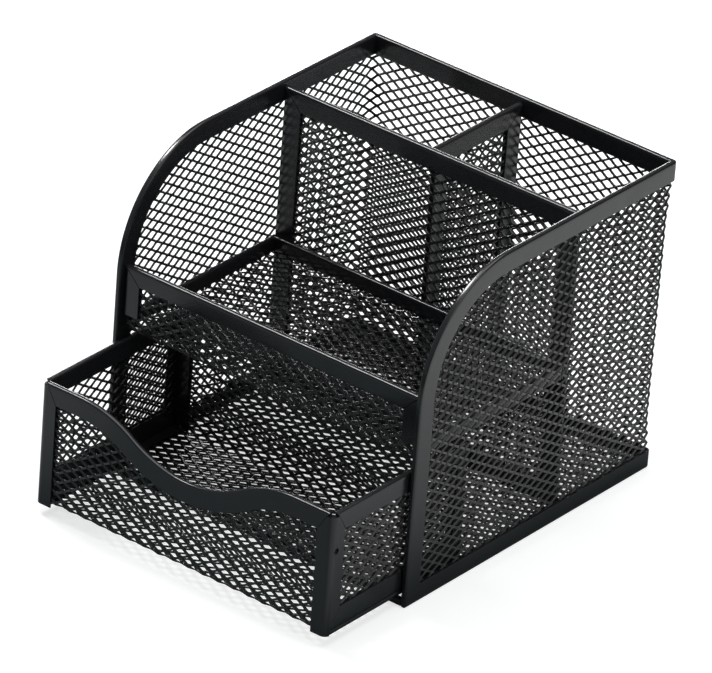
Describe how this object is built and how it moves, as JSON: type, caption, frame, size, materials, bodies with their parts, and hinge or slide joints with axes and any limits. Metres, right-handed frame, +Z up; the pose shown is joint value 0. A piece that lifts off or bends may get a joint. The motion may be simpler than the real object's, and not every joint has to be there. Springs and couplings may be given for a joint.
{
  "type": "desk pen stand with drawer",
  "caption": "Upright wire-mesh desk pen stand with divided pen bays at the back, an open tray with a front lip and a pull-out drawer with a finger dip.",
  "frame": {"origin": "on the desk, at the middle of the box that holds the housing and the drawer as it stands pulled out", "axes": "+Z up, -Y towards the front where the drawer pulls out, +X to the right seen from behind the drawer's front"},
  "size_m": [0.14, 0.186, 0.127],
  "materials": {
    "strip": "semi-gloss black powder coat",
    "mesh": "semi-gloss black powder coat"
  },
  "bodies": {
    "housing": {"cross_divider_foot_strip": "strip", "cross_divider_front_strip": "strip", "cross_divider_mesh": "mesh", "cross_divider_rear_strip": "strip", "cross_divider_top_strip": "strip", "divider_foot_strip": "strip", "divider_left_strip": "strip", "divider_mesh": "mesh", "divider_right_strip": "strip", "divider_top_strip": "strip", "floor_mesh": "mesh", "front_sill_strip": "strip", "shelf_left_strip": "strip", "shelf_lip_left_strip": "strip", "shelf_lip_right_strip": "strip", "shelf_lip_strip": "strip", "shelf_mesh": "mesh", "shelf_rear_strip": "strip", "shelf_right_strip": "strip", "shell_base_strip": "strip", "shell_mesh": "mesh", "shell_rim_strip": "strip"},
    "drawer": {"drawer_front_left_post": "strip", "drawer_front_right_post": "strip", "drawer_front_rim_strip": "strip", "drawer_left_base_strip": "strip", "drawer_left_mesh": "mesh", "drawer_left_rim_strip": "strip", "drawer_left_runner_strip": "strip", "drawer_rear_left_post": "strip", "drawer_rear_right_post": "strip", "drawer_rear_rim_strip": "strip", "drawer_right_base_strip": "strip", "drawer_right_mesh": "mesh", "drawer_right_rim_strip": "strip", "drawer_right_runner_strip": "strip", "drawer_tray_mesh": "mesh"}
  },
  "joints": [
    {"name": "drawer_slide", "type": "slide", "parent": "housing", "child": "drawer", "axis": [0, -1, 0], "range_m": [-0.042, 0.03]}
  ]
}
